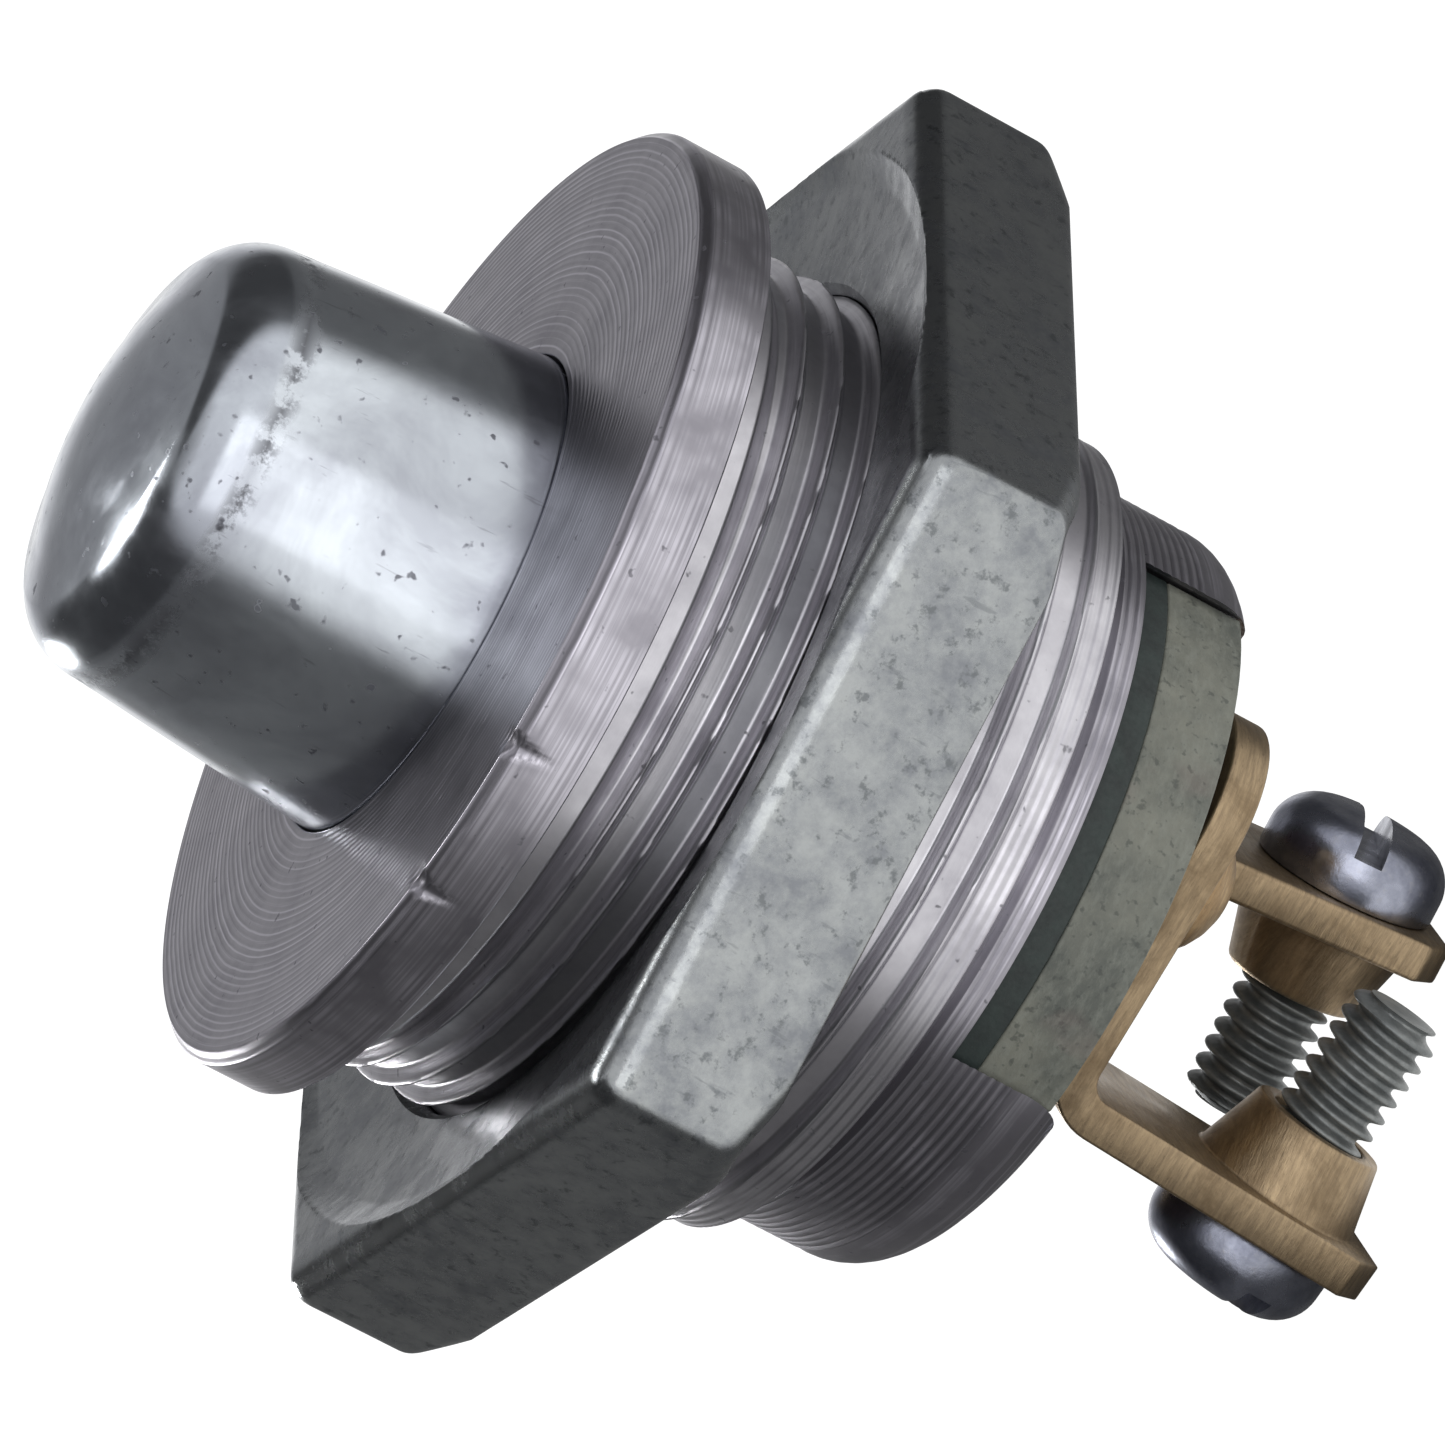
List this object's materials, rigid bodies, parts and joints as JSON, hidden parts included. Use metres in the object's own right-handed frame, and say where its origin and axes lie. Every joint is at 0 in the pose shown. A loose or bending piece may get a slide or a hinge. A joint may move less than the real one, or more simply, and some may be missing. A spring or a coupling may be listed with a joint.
{
  "type": "panel push-button switch",
  "caption": "Panel-mount momentary push-button switch: polished domed button, round flange, threaded barrel with a dished hexagon nut, and screw terminals on an insulating disc.",
  "frame": {"origin": "on the barrel's axis, on the underside of the flange, where the panel's front face lies", "axes": "+Z runs along the axis out of the panel, the way the button stands; terminal A's base lies towards -Y and its leg towards -X"},
  "size_m": [0.0392, 0.034, 0.0439],
  "materials": {
    "barrel_metal": "turned and nickel plated, fine turning lines",
    "nut_metal": "zinc plated, slightly mottled",
    "button_metal": "polished plating with small pits",
    "stem_metal": "smooth turned",
    "spring_steel": "bright drawn wire",
    "washer_steel": "stamped, plain",
    "guide_brass": "turned, plain",
    "liner_fibre": "dark fibre",
    "contact_copper": "copper alloy, plain",
    "insulation_fibre": "brown laminate",
    "clip_steel": "spring steel",
    "gasket_rubber": "dark green, dull",
    "disc_laminate": "grey-green laminate, speckled",
    "spacer_fibre": "dark brown fibre",
    "terminal_brass": "brushed and tarnished",
    "rivet_brass": "smooth, dulled",
    "contact_silver": "silver, dull",
    "screw_plating": "dark bluish plating"
  },
  "bodies": {
    "housing": {"barrel": "barrel_metal", "guide_bush": "guide_brass", "spring_washer": "washer_steel", "contact_liner": "liner_fibre", "gasket_sheet": "gasket_rubber", "insulator_disc": "disc_laminate", "fibre_spacer": "spacer_fibre", "terminal_a": "terminal_brass", "terminal_b": "terminal_brass", "contact_rivet_a": "rivet_brass", "contact_rivet_b": "rivet_brass", "silver_tip_a": "contact_silver", "silver_tip_b": "contact_silver", "return_spring": "spring_steel"},
    "plunger": {"button_cap": "button_metal", "plunger_stem": "stem_metal", "contact_disc": "contact_copper", "upper_insulating_washer": "insulation_fibre", "lower_insulating_bush": "insulation_fibre", "stem_clip": "clip_steel"},
    "nut": {"panel_nut": "nut_metal"},
    "screw_a": {"terminal_screw_a": "screw_plating"},
    "screw_b": {"terminal_screw_b": "screw_plating"}
  },
  "joints": [
    {"name": "button_travel", "type": "slide", "parent": "housing", "child": "plunger", "axis": [0, 0, -1], "range_m": [0, 0.003], "stiffness_N_per_m": 900, "springref_m": -0.004, "deforming": ["return_spring"]},
    {"name": "nut_travel", "type": "slide", "parent": "housing", "child": "nut", "axis": [0, 0, 1], "range_m": [-0.03, 0.0035]},
    {"name": "screw_a_travel", "type": "slide", "parent": "housing", "child": "screw_a", "axis": [-0.9809, 0.1818, 0.0698], "range_m": [0, 0.003]},
    {"name": "screw_b_travel", "type": "slide", "parent": "housing", "child": "screw_b", "axis": [0.9809, -0.1818, 0.0698], "range_m": [0, 0.003]}
  ]
}
